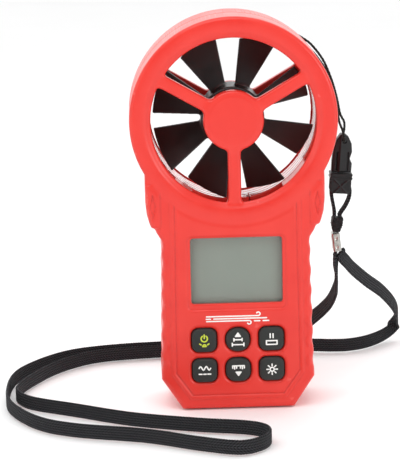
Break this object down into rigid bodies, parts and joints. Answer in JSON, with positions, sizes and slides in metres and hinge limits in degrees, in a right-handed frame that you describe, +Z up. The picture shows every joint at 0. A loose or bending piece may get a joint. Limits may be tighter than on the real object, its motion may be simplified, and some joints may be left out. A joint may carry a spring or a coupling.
{
  "type": "vane anemometer",
  "caption": "Handheld vane anemometer: a standing case with display and keys below a ring-shaped air duct with a spinning bladed rotor, and a neck strap.",
  "frame": {"origin": "middle of the bottom of the case, measured without the neck strap", "axes": "+Z up, from the base to the duct ring; the display, keys and duct's front face -Y; +X is to the right seen from the front"},
  "size_m": [0.1777, 0.1733, 0.1635],
  "materials": {
    "red_shell": "satin moulded",
    "duct_plastic": "gloss moulded",
    "black_plastic": "satin moulded",
    "grey_plastic": "satin moulded",
    "key_rubber": "matte",
    "mat_rubber": "matte",
    "window_plastic": "clear",
    "display_glass": "satin",
    "backlight_plastic": "milky",
    "circuit_board": "satin solder mask",
    "chip_plastic": "matte",
    "steel": "polished",
    "bronze": "sintered",
    "crimp_steel": "nickel plated",
    "battery_jacket": "gloss",
    "red_lead": "satin",
    "black_lead": "satin",
    "nylon_cord": "braided",
    "nylon_webbing": "woven"
  },
  "bodies": {
    "case": {"front_cover": "red_shell", "rear_cover": "red_shell", "duct_ring": "duct_plastic", "front_bearing": "bronze", "rear_bearing": "bronze", "rear_hub_plate": "grey_plastic", "sensor_housing": "duct_plastic", "infrared_emitter": "black_plastic", "infrared_receiver": "black_plastic", "sensor_board": "circuit_board", "sensor_lead": "black_lead", "display_window": "window_plastic", "lcd_panel": "display_glass", "lcd_holder": "grey_plastic", "backlight": "backlight_plastic", "zebra_strip": "mat_rubber", "main_board": "circuit_board", "measuring_chip": "chip_plastic", "keypad_mat": "mat_rubber", "board_screw_1": "steel", "board_screw_2": "steel", "case_screw_1": "steel", "case_screw_2": "steel", "case_screw_3": "steel", "case_screw_4": "steel", "battery": "battery_jacket", "battery_snap": "black_plastic", "battery_lead_red": "red_lead", "battery_lead_black": "black_lead", "lanyard_cord": "nylon_cord", "buckle_upper": "black_plastic", "buckle_lower": "black_plastic", "strap_bar_loop": "nylon_webbing", "strap_joint": "nylon_webbing", "strap_crimp": "crimp_steel", "strap_webbing": "nylon_webbing"},
    "rotor": {"vane_rotor": "black_plastic", "rotor_shaft": "steel"},
    "battery_door": {"battery_door": "red_shell"},
    "key_power": {"key_power": "key_rubber"},
    "key_up": {"key_up": "key_rubber"},
    "key_hold": {"key_hold": "key_rubber"},
    "key_average": {"key_average": "key_rubber"},
    "key_units": {"key_units": "key_rubber"},
    "key_light": {"key_light": "key_rubber"}
  },
  "joints": [
    {"name": "rotor_spin", "type": "hinge", "parent": "case", "child": "rotor", "pos_m": [0, 0.0007, 0.121], "axis": [0, 1, 0], "continuous": true},
    {"name": "key_power_press", "type": "slide", "parent": "case", "child": "key_power", "axis": [0, 1, 0], "range_m": [0, 0.001], "stiffness_N_per_m": 1200},
    {"name": "key_up_press", "type": "slide", "parent": "case", "child": "key_up", "axis": [0, 1, 0], "range_m": [0, 0.001], "stiffness_N_per_m": 1200},
    {"name": "key_hold_press", "type": "slide", "parent": "case", "child": "key_hold", "axis": [0, 1, 0], "range_m": [0, 0.001], "stiffness_N_per_m": 1200},
    {"name": "key_average_press", "type": "slide", "parent": "case", "child": "key_average", "axis": [0, 1, 0], "range_m": [0, 0.001], "stiffness_N_per_m": 1200},
    {"name": "key_units_press", "type": "slide", "parent": "case", "child": "key_units", "axis": [0, 1, 0], "range_m": [0, 0.001], "stiffness_N_per_m": 1200},
    {"name": "key_light_press", "type": "slide", "parent": "case", "child": "key_light", "axis": [0, 1, 0], "range_m": [0, 0.001], "stiffness_N_per_m": 1200},
    {"name": "battery_door_hinge", "type": "hinge", "parent": "case", "child": "battery_door", "pos_m": [0, 0.0177, 0.008], "axis": [-1, 0, 0], "range_deg": [0, 65]}
  ]
}
